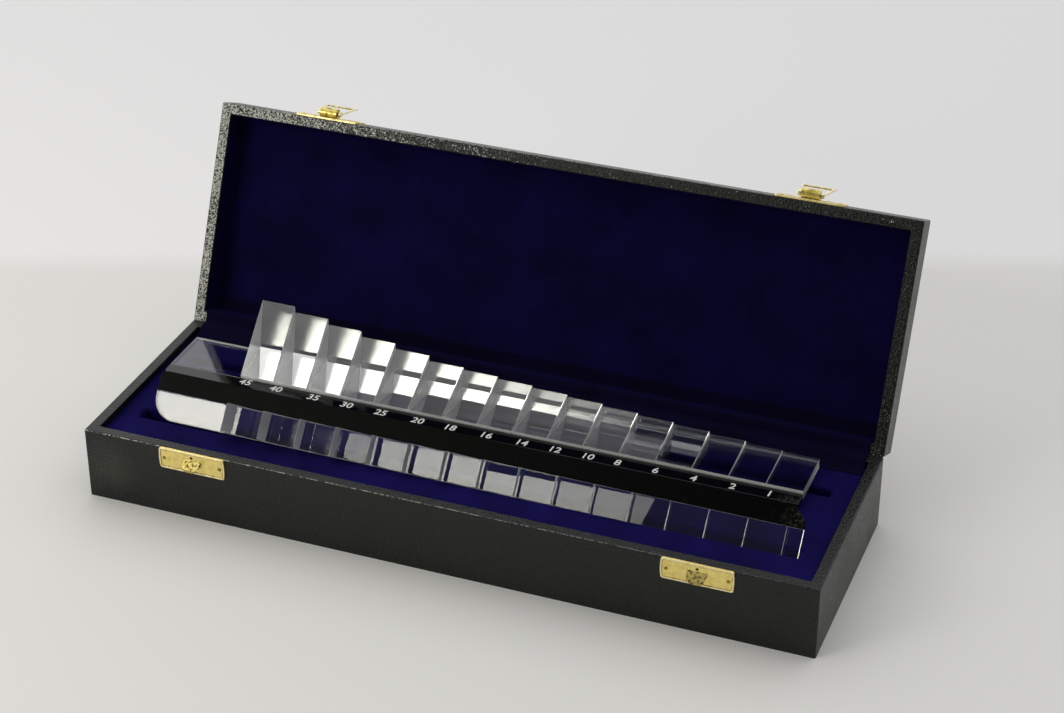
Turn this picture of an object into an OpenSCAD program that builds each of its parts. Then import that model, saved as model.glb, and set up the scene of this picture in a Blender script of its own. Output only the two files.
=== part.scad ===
// A cased set of two prism bars for measuring squint.
// Each bar is a clear carrier with a row of clear prisms whose powers step down from the handle.
// The case stands with its front to -Y, its length along X, and its underside on Z = 0 at the origin.

/* [Case] */
// Length of the case, left to right
case_l = 400; // [380:1:480]
// Depth of the case, front to back
case_d = 124; // [118:1:150]
// Height of the base, from its underside to its rim
base_h = 41; // [36:1:52]
// Height of the lid, from its rim to its top
lid_h = 19; // [17:1:26]
// Thickness of the side boards of base and lid
board_t = 5.2; // [4:0.1:7]
// Thickness of the bottom board
bottom_t = 4; // [3:0.1:6]
// Thickness of the lid's top board
top_t = 2.6; // [2:0.1:4]
// Thickness of the black covering
cover_t = 0.5; // [0.3:0.05:0.8]
// Radius of the case's upright outer corners
corner_r = 1; // [0.6:0.1:2]
// Opening angle of the lid at rest, measured from closed
lid_open = 114.7; // [100:0.1:120]

/* [Lining] */
// Thickness of the velvet
velvet_t = 0.8; // [0.5:0.1:1.2]
// Depth of the velvet below the base's rim
lining_drop = 3.8; // [3:0.1:6]
// Width of the front slit, held open by the narrow bar
front_slit_w = 7.5; // [6.5:0.1:9]
// Width of the back slit
back_slit_w = 6; // [4.5:0.1:8]
// Distance of the front slit's centre in front of the middle of the case
front_slit_y = 30.2; // [28:0.1:36]
// Distance of the back slit's centre behind the middle of the case
back_slit_y = 26.2; // [22:0.1:32]
// Distance from each end of the case to the slits
slit_end = 18; // [14:0.5:24]
// Depth of the slits below the velvet
slit_depth = 24; // [16:1:26]
// Depth of the velvet lips turned down into the slits
lip_depth = 8; // [4:0.5:14]
// Size of the slope where the velvet turns down into a slit
lip_slope = 2; // [1.8:0.1:2.6]
// Thickness of the velvet strip that lines the hinge
strip_t = 0.5; // [0.3:0.1:0.6]
// Distance of the strip's edges from the hinge line
strip_gap = 2.6; // [2.4:0.1:4]
// Distance from each end of the case to the strip
strip_end = 8; // [7:0.5:14]
// Height that the strip reaches up the lid's lining
strip_lap = 8; // [4:0.5:14]
// Depth of the rounded rise of the velvet along the back
back_rise = 7.6; // [5:0.1:9]

/* [Wide bar] */
// Distance of the wide bar's left end from the case's left face
wide_left = 10.6; // [8:0.1:14]
// Distance of the wide bar's front edge from the case's front face
wide_front = 67; // [62:0.5:70]
// Length of the wide bar's handle
wide_handle = 42.7; // [36:0.1:50]
// Length of one prism along the wide bar
wide_pitch = 19.8; // [18:0.1:20.2]
// Width of the wide bar's prisms
wide_prism_w = 31; // [26:0.5:34]
// Width of the wide bar's number strip
wide_strip_w = 9.8; // [8:0.1:12]
// Thickness of the wide bar's carrier
wide_t = 3.2; // [2.5:0.1:4]
// Thickness of the wide bar's prisms at their thin edge
wide_apex = 1.8; // [1:0.1:2.5]
// Radius of the handle's front corner
wide_corner = 5; // [2:0.5:8]

/* [Narrow bar] */
// Distance of the narrow bar's left end from the case's left face
narrow_left = 24; // [20:0.5:28]
// Length of the narrow bar's handle
narrow_handle = 47; // [40:0.5:52]
// Length of one prism along the narrow bar
narrow_pitch = 20.1; // [18:0.1:20.4]
// Length of the plain end beyond the last prism
narrow_tail = 8; // [6:0.5:12]
// Width of the narrow bar's prisms
narrow_prism_w = 15.2; // [13:0.1:17]
// Width of the narrow bar's black strip
narrow_strip_w = 10.8; // [9:0.1:12]
// Thickness of the narrow bar's carrier
narrow_t = 2.2; // [1.8:0.1:2.4]
// Thickness of the narrow bar's prisms at their thin edge
narrow_apex = 1.2; // [0.8:0.1:1.6]
// Size of the cut at the handle's lower corner
narrow_cut_low = 7.5; // [4:0.5:9]
// Size of the cut at the far end's upper corner
narrow_cut_high = 6.5; // [4:0.5:9]
// Radius of the handle's upper corner
narrow_corner = 4; // [2:0.5:6]
// Lean of the narrow bar from the horizontal
narrow_lean = 51; // [46:0.5:56]
// Turn of the narrow bar seen from above
narrow_yaw = 0.68; // [0.6:0.01:0.75]
// Sink of the narrow bar's far end into the slit
narrow_sink = 0.72; // [0.6:0.01:0.8]

/* [Prisms] */
// Refractive index of the clear plastic
plastic_index = 1.49; // [1.47:0.01:1.53]
// Width of the joint between one prism and the next
prism_joint = 0.2; // [0.1:0.05:0.4]
// Gap between the bars and the velvet below them
lay_gap = 0.35; // [0.3:0.05:0.6]

/* [Catches] */
// Distance of the left catch from the case's left face
catch_left = 63.5; // [55:0.5:80]
// Distance of the right catch from the case's left face
catch_right = 338.7; // [300:0.5:345]
// Length of a catch plate
catch_l = 38; // [32:0.5:46]
// Height of a catch plate
catch_h = 12.2; // [10.5:0.1:14]
// Thickness of a catch plate
catch_t = 0.8; // [0.6:0.1:1.2]
// Radius of a catch plate's corners
catch_r = 1.6; // [1:0.1:3]
// Bulge of a catch plate's short sides
catch_bulge = 0.5; // [0.3:0.1:1]
// Distance of the tacks from the plate's middle
tack_x = 16; // [12:0.5:17]
// Radius of a tack's head
tack_head_r = 1.1; // [0.9:0.1:1.5]
// Radius of a tack's shank
tack_r = 0.6; // [0.4:0.05:0.8]
// Outer radius of the rolled knuckle
knuckle_r = 2.8; // [2.2:0.1:3.2]
// Length of the rolled knuckle
knuckle_l = 10; // [8:0.5:14]
// Radius of the hoop's pivot bar
pivot_r = 0.9; // [0.7:0.05:1.2]
// Running clearance round the pivot bar
pivot_fit = 0.05; // [0.02:0.01:0.09]
// Distance of the knuckle from the lid's rim
knuckle_up = 4.5; // [4:0.1:6]
// Length of the hoop from its pivot to its far edge
hoop_l = 16.4; // [14:0.1:19]
// Width of the hoop at its far edge
hoop_w = 19; // [17:0.5:24]
// Width of the hoop's legs and of its far bar
hoop_leg = 1.7; // [1.4:0.1:2.2]
// Thickness of the hoop
hoop_t = 0.9; // [0.7:0.1:1.2]
// Angle between the hoop at rest and the lid's front face
hoop_rest = 12.7; // [8:0.1:20]
// Width of the hook that the hoop snaps over
hook_w = 10; // [8:0.5:11]
// Reach of the hook in front of its plate
hook_out = 3.4; // [3:0.1:3.8]

/* [Hidden] */
$fn = 48;
// A little more than nothing, so that cuts run past the face that they open
past = 1;
// Powers of the prisms in prism dioptres, from the handle outwards
wide_powers = [45, 40, 35, 30, 25, 20, 18, 16, 14, 12, 10, 8, 6, 4, 2, 1];
narrow_powers = [30, 25, 20, 18, 16, 14, 12, 10, 8, 6, 5, 4, 3, 2, 1];

// Total thickness of a wall, and the inset of its inner wooden face
wall_t = board_t + 2 * cover_t;
board_in = board_t + cover_t;
// Heights of the foam pad and of the velvet that covers it
velvet_z = base_h - lining_drop;
pad_z = velvet_z - velvet_t;
// Depth of the covering turned in over the rims of base and lid
base_turn_in = lining_drop + velvet_t;
lid_turn_in = 1;
// Underside of the lid's top board and of its velvet, measured from the lid's rim
lid_board_z = lid_h - cover_t - top_t;
lid_ceiling = lid_board_z - velvet_t;
// Chamfer that keeps the covering clear of the hinge line
hinge_chamfer = 0.5;

// Overall sizes of the bars
wide_l = wide_handle + len(wide_powers) * wide_pitch;
narrow_l = narrow_handle + len(narrow_powers) * narrow_pitch + narrow_tail;
narrow_w = narrow_prism_w + narrow_strip_w;
// Place of the narrow bar's lower front edge at the handle: just inside the slit and over its lip
narrow_behind = 0.1;
narrow_over = 0.45;
narrow_y = -front_slit_y - front_slit_w / 2 + narrow_behind;
narrow_z = velvet_z + narrow_over;

// Clearance round the tacks, their length, and the height of their heads
tack_fit = 0.05;
tack_l = catch_t + cover_t + board_t / 2;
tack_head_h = 0.5;
// Height of the knuckle's axis above the face that the plate lies on
knuckle_out = catch_t + knuckle_r;
// Gap between the knuckle's ends and the hoop's legs
leg_gap = 0.4;
// Radius of the eyes in which the hoop's legs end
eye_r = 1.5;
// Small punched hole over the hook, and its distance below the rim
punch_r = 0.8;
punch_down = 2.9;
// Top of the hook above the middle of its plate, and the radius of its nose
hook_rise = 1.9;
nose_r = 0.9;
// Gap between the closed hoop's far bar and the tip of the hook
tip_gap = 0.3;
// Depth of the slope of the hook at its nose
nose_slope = 1.3;
// Height of the groove behind the hook at its top and out under the nose
groove_top = 1.2;
groove_out = 1.3;

// Rectangle with round corners, centred on the origin
module rounded_rect(l, w, r) {
    square([l - 2 * r, w], center = true);
    square([l, w - 2 * r], center = true);
    for (x = [-1, 1], y = [-1, 1])
        translate([x * (l / 2 - r), y * (w / 2 - r)]) circle(r);
}

// Upright block that follows the case's outline, drawn in by inset
module inset_block(inset, low, high) {
    translate([-case_l / 2 + inset, -case_d / 2 + inset, low])
        cube([case_l - 2 * inset, case_d - 2 * inset, high - low]);
}

// Bar along X with its YZ outline given as points
module bar_along_x(left, length, points) {
    translate([left, 0, 0]) rotate([90, 0, 90]) linear_extrude(length) polygon(points);
}

// Carries the closed lid, whose rim lies on the base's rim, to its open place
module open_lid() {
    translate([0, case_d / 2, base_h]) rotate([-lid_open, 0, 0])
        translate([0, -case_d / 2, -base_h]) children();
}

// Frame of a catch: X along the case, Y up from the line between the rims, Z outward
module on_front(from_left) {
    translate([-case_l / 2 + from_left, -case_d / 2, base_h]) rotate([90, 0, 0]) children();
}

// Holes for the two tacks of a plate whose middle is at height y
module tack_holes(y, depth) {
    for (x = [-tack_x, tack_x])
        translate([x, y, -depth]) cylinder(r = tack_r + tack_fit, h = depth + catch_t + past);
}

module all_tack_holes(y) {
    for (c = [catch_left, catch_right]) on_front(c) tack_holes(y, tack_l);
}

// Wooden boards of the base
module long_board(low, high, side) {
    translate([-case_l / 2 + cover_t, side < 0 ? -case_d / 2 + cover_t : case_d / 2 - board_in, low])
        cube([case_l - 2 * cover_t, board_t, high - low]);
}

module end_board(low, high, side) {
    translate([side < 0 ? -case_l / 2 + cover_t : case_l / 2 - board_in, -case_d / 2 + board_in, low])
        cube([board_t, case_d - 2 * board_in, high - low]);
}

module base_front_board() {
    color("saddlebrown") difference() {
        long_board(bottom_t, base_h - cover_t, -1);
        all_tack_holes(-catch_h / 2);
    }
}

module base_back_board() {
    color("saddlebrown") long_board(bottom_t, base_h - cover_t, 1);
}

module base_left_board() {
    color("saddlebrown") end_board(bottom_t, base_h - cover_t, -1);
}

module base_right_board() {
    color("saddlebrown") end_board(bottom_t, base_h - cover_t, 1);
}

module base_bottom_board() {
    color("saddlebrown") inset_block(cover_t, 0, bottom_t);
}

// Covering: a skin round the outside that turns over the rim and a little way down the inside
module rim_skin(low, high, turn_in, rim_low) {
    difference() {
        translate([0, 0, low]) linear_extrude(high - low) rounded_rect(case_l, case_d, corner_r);
        inset_block(board_in, low - past, high - turn_in);
        difference() {
            inset_block(cover_t, low - past, high - rim_low);
            inset_block(board_in, low - 2 * past, high + past);
        }
        inset_block(wall_t, low - past, high + past);
    }
}

// Wedge that takes the sharp outer corner off along the hinge line
module hinge_chamfer_cut() {
    translate([-case_l / 2 - past, case_d / 2, base_h]) rotate([45, 0, 0])
        translate([0, -hinge_chamfer * sqrt(0.5), -hinge_chamfer * sqrt(0.5)])
            cube([case_l + 2 * past, hinge_chamfer * sqrt(2), hinge_chamfer * sqrt(2)]);
}

module base_covering() {
    color([0.07, 0.07, 0.07]) difference() {
        rim_skin(0, base_h, base_turn_in, cover_t);
        all_tack_holes(-catch_h / 2);
        hinge_chamfer_cut();
    }
}

// One slit, grown by the thickness of the velvet, with its sloped long lips under a surface at high
module slit(y, w, grow, low, high) {
    half = w / 2 + grow;
    slope = lip_slope + grow * (sqrt(2) - 2);
    translate([-case_l / 2 + slit_end - grow, y, 0]) rotate([90, 0, 90])
        linear_extrude(case_l - 2 * slit_end + 2 * grow)
            polygon([[-half, low], [half, low], [half, high - slope], [half + slope, high],
                     [half + slope, high + past], [-half - slope, high + past],
                     [-half - slope, high], [-half, high - slope]]);
}

module both_slits(grow, low, high) {
    slit(-front_slit_y, front_slit_w, grow, low, high);
    slit(back_slit_y, back_slit_w, grow, low, high);
}

module base_foam_pad() {
    color("dimgray") difference() {
        inset_block(board_in, bottom_t, pad_z);
        both_slits(velvet_t, velvet_z - slit_depth, pad_z);
    }
}

// The velvet covers the pad, turns down into the slits, and rises at the back over the rim
module base_velvet() {
    rise = base_h + strip_t - velvet_z;
    rise_r = (back_rise * back_rise + rise * rise) / (2 * rise);
    inner_back = case_d / 2 - wall_t;
    strip_l = case_l - 2 * strip_end;
    color([0.1, 0.08, 0.45]) difference() {
        union() {
            inset_block(wall_t, pad_z, velvet_z);
            intersection() {
                both_slits(velvet_t, velvet_z - lip_depth, pad_z);
                inset_block(wall_t, velvet_z - lip_depth, pad_z);
            }
            difference() {
                translate([-strip_l / 2, inner_back - back_rise, velvet_z])
                    cube([strip_l, back_rise, rise]);
                translate([-strip_l / 2 - past, inner_back - back_rise, velvet_z + rise_r])
                    rotate([0, 90, 0]) cylinder(r = rise_r, h = strip_l + 2 * past, $fn = 96);
            }
            translate([-strip_l / 2, inner_back, base_h])
                cube([strip_l, wall_t - strip_gap, strip_t]);
        }
        both_slits(0, velvet_z - slit_depth - past, velvet_z);
    }
}

// Wooden boards of the lid, in its closed place
module lid_front_board() {
    color("saddlebrown") open_lid() difference() {
        long_board(base_h + cover_t, base_h + lid_board_z, -1);
        all_tack_holes(catch_h / 2);
    }
}

module lid_back_board() {
    color("saddlebrown") open_lid() long_board(base_h + cover_t, base_h + lid_board_z, 1);
}

module lid_left_board() {
    color("saddlebrown") open_lid() end_board(base_h + cover_t, base_h + lid_board_z, -1);
}

module lid_right_board() {
    color("saddlebrown") open_lid() end_board(base_h + cover_t, base_h + lid_board_z, 1);
}

module lid_top_board() {
    color("saddlebrown") open_lid() inset_block(cover_t, base_h + lid_board_z, base_h + lid_h - cover_t);
}

// The lid's covering is the base's upside down, with a top
module lid_covering() {
    color([0.07, 0.07, 0.07]) open_lid() difference() {
        union() {
            translate([0, 0, 2 * base_h]) mirror([0, 0, 1])
                rim_skin(base_h - lid_h, base_h, lid_turn_in, cover_t);
            translate([0, 0, base_h + lid_h - cover_t]) linear_extrude(cover_t)
                rounded_rect(case_l, case_d, corner_r);
        }
        all_tack_holes(catch_h / 2);
        hinge_chamfer_cut();
    }
}

// The lid's velvet lines its ceiling and walls; a strip of it laps over the back rim as the hinge
module lid_velvet() {
    strip_l = case_l - 2 * strip_end;
    inner_back = case_d / 2 - wall_t;
    color([0.06, 0.04, 0.28]) open_lid() union() {
        difference() {
            inset_block(board_in, base_h + lid_turn_in, base_h + lid_board_z);
            inset_block(wall_t, base_h, base_h + lid_ceiling);
        }
        translate([-strip_l / 2, inner_back - strip_t, base_h - strip_t])
            cube([strip_l, wall_t - strip_gap + strip_t, strip_t]);
        translate([-strip_l / 2, inner_back - strip_t, base_h - strip_t])
            cube([strip_l, strip_t, lid_ceiling + strip_t]);
        translate([-strip_l / 2, inner_back - strip_lap, base_h + lid_ceiling - strip_t])
            cube([strip_l, strip_lap, strip_t]);
    }
}

// Plate of a catch with its tack holes, lying on the face at Z = 0 with its middle at height y
module catch_plate(y) {
    end_r = (catch_h * catch_h / 4 + catch_bulge * catch_bulge) / (2 * catch_bulge);
    difference() {
        translate([0, y, 0]) linear_extrude(catch_t) intersection() {
            rounded_rect(catch_l, catch_h, catch_r);
            translate([catch_l / 2 - end_r, 0]) circle(end_r, $fn = 96);
            translate([end_r - catch_l / 2, 0]) circle(end_r, $fn = 96);
        }
        tack_holes(y, past);
    }
}

// Pressed hook: a rounded nose that slopes out and down, with a groove behind it for the hoop
module hook() {
    top = hook_rise - catch_h / 2;
    tip = -knuckle_up - (hoop_l - hoop_leg - 2 * knuckle_up) - tip_gap;
    nose = tip + nose_r;
    out = catch_t + hook_out;
    intersection() {
        translate([-hook_w / 2, 0, 0]) rotate([90, 0, 90]) linear_extrude(hook_w) difference() {
            union() {
                polygon([[top, catch_t / 2], [top, catch_t], [nose + nose_slope, out], [nose, out],
                         [nose, catch_t / 2]]);
                translate([nose, out - nose_r]) circle(nose_r);
            }
            polygon([[nose + nose_slope, catch_t], [nose + nose_slope, catch_t + groove_top],
                     [tip - past, out - groove_out], [tip - past, catch_t]]);
        }
        union() {
            translate([-hook_w / 2, tip + hook_w / 2, 0]) cube([hook_w, top - tip, out + past]);
            translate([0, tip + hook_w / 2, 0]) cylinder(r = hook_w / 2, h = out + past);
        }
    }
}

module base_catch_plate(from_left) {
    color("gold") on_front(from_left) difference() {
        union() {
            catch_plate(-catch_h / 2);
            hook();
        }
        translate([0, -punch_down, -past]) cylinder(r = punch_r, h = catch_t + 2 * past);
    }
}

// The lid's plate ends in a rolled knuckle, bored for the hoop's pivot bar
module lid_catch_plate(from_left) {
    color("gold") open_lid() on_front(from_left) difference() {
        union() {
            catch_plate(catch_h / 2);
            translate([-knuckle_l / 2, knuckle_up, knuckle_out]) rotate([0, 90, 0])
                cylinder(r = knuckle_r, h = knuckle_l);
            translate([-knuckle_l / 2, knuckle_up, catch_t / 2])
                cube([knuckle_l, knuckle_r, knuckle_out - catch_t / 2]);
        }
        translate([-knuckle_l / 2 - past, knuckle_up, knuckle_out]) rotate([0, 90, 0])
            cylinder(r = pivot_r + pivot_fit, h = knuckle_l + 2 * past);
    }
}

// One round-headed tack at the origin, driven towards -Z
module tack() {
    head_rise = (tack_head_r * tack_head_r + tack_head_h * tack_head_h) / (2 * tack_head_h);
    translate([0, 0, catch_t - tack_l]) cylinder(r = tack_r, h = tack_l);
    intersection() {
        translate([0, 0, catch_t]) cylinder(r = tack_head_r, h = tack_head_h + past);
        translate([0, 0, catch_t + tack_head_h - head_rise]) sphere(head_rise);
    }
}

module tacks(y) {
    for (c = [catch_left, catch_right], x = [-tack_x, tack_x])
        on_front(c) translate([x, y, 0]) tack();
}

module base_catch_tacks() {
    color("darkgoldenrod") tacks(-catch_h / 2);
}

module lid_catch_tacks() {
    color("darkgoldenrod") open_lid() tacks(catch_h / 2);
}

// Hoop in its own frame: the pivot bar along X at the origin, the far bar at +Y
module hoop() {
    leg_in = knuckle_l / 2 + leg_gap;
    leg_out = leg_in + hoop_leg;
    far_out = hoop_w / 2;
    far_in = far_out - hoop_leg;
    translate([0, 0, -hoop_t / 2]) linear_extrude(hoop_t) difference() {
        polygon([[-leg_out, 0], [-far_out, hoop_l], [far_out, hoop_l], [leg_out, 0]]);
        polygon([[-leg_in, -past], [-leg_in, 0], [-far_in, hoop_l - hoop_leg],
                 [far_in, hoop_l - hoop_leg], [leg_in, 0], [leg_in, -past]]);
    }
    translate([-leg_out, 0, 0]) rotate([0, 90, 0]) cylinder(r = pivot_r, h = 2 * leg_out);
    for (x = [-leg_out, leg_in])
        translate([x, 0, 0]) rotate([0, 90, 0]) cylinder(r = eye_r, h = hoop_leg);
}

module catch_hoop(from_left) {
    color("gold") open_lid() on_front(from_left)
        translate([0, knuckle_up, knuckle_out]) rotate([hoop_rest, 0, 0]) hoop();
}

// Thickness that a prism gains from its thin edge over a run, by the angle of least deviation
function half_turn(power) = atan(power / 100) / 2;
function prism_angle(power) =
    2 * atan(sin(half_turn(power)) / (plastic_index - cos(half_turn(power))));
function prism_gain(power, run) = run * tan(prism_angle(power));

// The wide bar lies flat on the velvet: X from the handle's end, Y from the strip's front edge
module wide_bar_place() {
    translate([-case_l / 2 + wide_left, -case_d / 2 + wide_front, velvet_z + lay_gap]) children();
}

module wide_bar_carrier() {
    color([0.8, 0.85, 0.9, 0.5]) wide_bar_place()
        translate([0, wide_strip_w, 0]) cube([wide_l, wide_prism_w, wide_t]);
}

module wide_bar_number_strip() {
    color([0.05, 0.05, 0.05]) wide_bar_place() linear_extrude(wide_t) union() {
        translate([wide_corner, 0]) square([wide_l - wide_corner, wide_strip_w]);
        translate([0, wide_corner]) square([wide_corner, wide_strip_w - wide_corner]);
        intersection() {
            translate([wide_corner, wide_corner]) circle(wide_corner);
            square(wide_corner);
        }
    }
}

// The prisms of the wide bar are thickest at the back
module wide_bar_prism(i) {
    gain = prism_gain(wide_powers[i], wide_prism_w);
    color([0.8, 0.85, 0.9, 0.5]) wide_bar_place() translate([0, wide_strip_w, wide_t])
        bar_along_x(wide_handle + i * wide_pitch + prism_joint / 2, wide_pitch - prism_joint,
            [[0, 0], [wide_prism_w, 0], [wide_prism_w, wide_apex + gain], [0, wide_apex]]);
}

// The narrow bar leans back with its prisms to the front: Y up its slope, Z out of its face
module narrow_bar_place() {
    translate([-case_l / 2 + narrow_left, narrow_y, narrow_z]) rotate([0, 0, narrow_yaw])
        rotate([narrow_lean, 0, 0]) rotate([0, 0, -narrow_sink]) translate([0, 0, -narrow_t])
            children();
}

module narrow_bar_carrier() {
    color([0.8, 0.85, 0.9, 0.5]) narrow_bar_place() linear_extrude(narrow_t)
        polygon([[narrow_cut_low, 0], [narrow_l, 0], [narrow_l, narrow_prism_w],
                 [0, narrow_prism_w], [0, narrow_cut_low]]);
}

module narrow_bar_black_strip() {
    color([0.05, 0.05, 0.05]) narrow_bar_place() linear_extrude(narrow_t) difference() {
        union() {
            translate([narrow_corner, narrow_prism_w]) square([narrow_l - narrow_corner, narrow_strip_w]);
            translate([0, narrow_prism_w])
                square([narrow_corner + past, narrow_strip_w - narrow_corner]);
            translate([narrow_corner, narrow_w - narrow_corner]) circle(narrow_corner);
        }
        polygon([[narrow_l - narrow_cut_high, narrow_w], [narrow_l + past, narrow_w + past],
                 [narrow_l + past, narrow_w - narrow_cut_high - past]]);
    }
}

// The prisms of the narrow bar are thickest at the side next to the handle
module narrow_bar_prism(i) {
    run = narrow_pitch - prism_joint;
    gain = prism_gain(narrow_powers[i], run);
    color([0.8, 0.85, 0.9, 0.5]) narrow_bar_place()
        translate([narrow_handle + i * narrow_pitch + prism_joint / 2, narrow_prism_w, narrow_t])
            rotate([90, 0, 0]) linear_extrude(narrow_prism_w)
                polygon([[0, 0], [run, 0], [run, narrow_apex], [0, narrow_apex + gain]]);
}

base_front_board();
base_back_board();
base_left_board();
base_right_board();
base_bottom_board();
base_covering();
base_foam_pad();
base_velvet();
lid_front_board();
lid_back_board();
lid_left_board();
lid_right_board();
lid_top_board();
lid_covering();
lid_velvet();
base_catch_plate(catch_left);  // base_catch_plate_left
base_catch_plate(catch_right);  // base_catch_plate_right
base_catch_tacks();
lid_catch_plate(catch_left);  // lid_catch_plate_left
lid_catch_plate(catch_right);  // lid_catch_plate_right
lid_catch_tacks();
catch_hoop(catch_left);  // catch_hoop_left
catch_hoop(catch_right);  // catch_hoop_right
wide_bar_carrier();
wide_bar_number_strip();
for (i = [0 : len(wide_powers) - 1])
    wide_bar_prism(i);
narrow_bar_carrier();
narrow_bar_black_strip();
for (i = [0 : len(narrow_powers) - 1])
    narrow_bar_prism(i);
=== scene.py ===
import math
from contextlib import contextmanager

import bpy
from mathutils import Matrix, Vector


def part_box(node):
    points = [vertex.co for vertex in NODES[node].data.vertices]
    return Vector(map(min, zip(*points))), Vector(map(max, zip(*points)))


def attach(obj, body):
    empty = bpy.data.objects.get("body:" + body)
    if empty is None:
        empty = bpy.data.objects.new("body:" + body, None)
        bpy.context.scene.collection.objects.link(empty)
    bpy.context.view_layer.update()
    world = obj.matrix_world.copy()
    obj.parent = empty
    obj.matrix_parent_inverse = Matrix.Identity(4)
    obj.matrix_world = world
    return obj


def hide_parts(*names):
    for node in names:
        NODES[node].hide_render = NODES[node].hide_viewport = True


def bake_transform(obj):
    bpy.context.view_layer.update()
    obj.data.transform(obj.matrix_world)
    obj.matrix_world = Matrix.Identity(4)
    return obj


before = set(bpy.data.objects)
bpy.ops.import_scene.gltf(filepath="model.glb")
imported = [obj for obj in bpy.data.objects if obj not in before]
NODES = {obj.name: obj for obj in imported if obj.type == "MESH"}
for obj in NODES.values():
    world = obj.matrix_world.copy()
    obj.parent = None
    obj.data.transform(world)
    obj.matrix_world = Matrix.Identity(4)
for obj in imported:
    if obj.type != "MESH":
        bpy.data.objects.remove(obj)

bl_info = {
    "name": "Cased prism bar set",
    "version": (1, 0, 0),
    "blender": (4, 5, 0),
    "location": "3D View > Sidebar > Prism bars",
    "description": "Builds the looks of a cased set of two prism bars round its packed frame",
    "category": "Add Mesh",
}

MM = 0.001
WIDE_POWERS = (45, 40, 35, 30, 25, 20, 18, 16, 14, 12, 10, 8, 6, 4, 2, 1)
NARROW_POWERS = (30, 25, 20, 18, 16, 14, 12, 10, 8, 6, 5, 4, 3, 2, 1)
SIDES = ("left", "right")
X, Y, Z = Vector((1, 0, 0)), Vector((0, 1, 0)), Vector((0, 0, 1))
TO_FRONT = Vector((0, -1, 0))

# Outline of the base, height and opening of the lid, and the hinge line between them
BASE_LOW, BASE_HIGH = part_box("base_covering")
HALF_L = BASE_HIGH.x
FRONT_Y = BASE_LOW.y
BACK_Y = BASE_HIGH.y
RIM_Z = BASE_HIGH.z
LID_HEIGHT = 19 * MM
LID_OPEN = math.radians(114.7)
LID_TURN = Matrix.Rotation(-LID_OPEN, 3, "X")
HINGE = Vector((0, BACK_Y, RIM_Z))

# The slits' middles, and the height of the lid's lining above the closed lid's rim
FRONT_SLIT_Y = -30.2 * MM
BACK_SLIT_Y = 26.2 * MM
LINING_HEIGHT = 15.1 * MM

# The narrow bar turns a little seen from above, leans back, and sinks towards its far end
NARROW_TURN = (Matrix.Rotation(math.radians(0.68), 3, "Z") @ Matrix.Rotation(math.radians(51), 3, "X")
               @ Matrix.Rotation(math.radians(-0.72), 3, "Z"))

# Places closer together than this are the same
NEAR = 0.01 * MM
# A face looks along an axis when its normal has at least this share along it
FACING = 0.9

# Distances from the number strip's near left corner to the printed numbers, along and across, in mm
NUMBER_PLACES = (
    (47.3, 6.4), (65.7, 6.0), (88.3, 5.4), (108.2, 4.8), (128.4, 4.3), (149.9, 4.0), (168.4, 3.8),
    (189.0, 3.6), (209.0, 3.6), (227.5, 3.6), (245.7, 3.6), (262.1, 3.6), (282.7, 3.6), (303.2, 3.6),
    (323.9, 3.7), (343.3, 4.0),
)

# The window's panes from right to left, and last the low pane under them: left, right, lower and upper
# edge in metres, and radiance
WINDOW_PANES = (
    (-0.355, -0.315, 0.76, 0.903, 3.5), (-0.43, -0.355, 0.76, 0.903, 5.5), (-0.53, -0.43, 0.76, 0.903, 7.0),
    (-0.65, -0.53, 0.76, 0.903, 8.5), (-0.80, -0.65, 0.76, 0.903, 9.5), (-1.25, -0.80, 0.86, 0.98, 12.5),
    (-1.75, -1.25, 0.88, 1.00, 10.0), (-2.40, -1.75, 0.90, 1.03, 8.0), (-1.00, -0.42, 0.36, 0.60, 6.0),
)
WINDOW_Y = -0.95
DAYLIGHT = (1.0, 0.985, 0.88)
# The way to the brightest part of the room, and the level of its light
BRIGHT_WAY = (-0.12, 0.55, 0.82)
ROOM_LIGHT = 1.13

# The photograph's camera: its place, its way and its lens in millimetres on a 36 mm wide frame
CAMERA_PLACE = (0.41699, -1.01452, 0.74903)
CAMERA_WAY = (-0.30672, 0.80177, -0.51292)
LENS = 84.59
FRAME_WIDTH = 36
# The card's side, and the place and turn of the line beyond which the flat card is painted lighter, as a
# backdrop in more light
CARD_SIDE = 16
PAINTED_LIGHT_LINE_PLACE = (0.0, -0.2720, 0.0)
PAINTED_LIGHT_LINE_TURN = (0, 0, math.radians(-20.9))


# ---- Sizes and colours that a user would change ----

def length(name, text, value):
    """A length in metres as a property."""
    return bpy.props.FloatProperty(name=name, description=text, default=value, unit="LENGTH", precision=5)


def share(name, text, value):
    """A share from 0 to 1 as a property."""
    return bpy.props.FloatProperty(name=name, description=text, default=value, min=0, max=1, subtype="FACTOR")


def colour(name, text, value):
    """A colour as a property, given as an sRGB hex value."""
    return bpy.props.FloatVectorProperty(
        name=name, description=text, default=to_linear(value)[:3], size=3, min=0, max=1, subtype="COLOR")


def to_linear(value):
    """An sRGB hex value such as #1a2b3c as linear red, green, blue and alpha."""
    parts = [int(value[i:i + 2], 16) / 255 for i in (1, 3, 5)]
    return tuple(p / 12.92 if p <= 0.04045 else ((p + 0.055) / 1.055) ** 2.4 for p in parts) + (1.0,)


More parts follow.
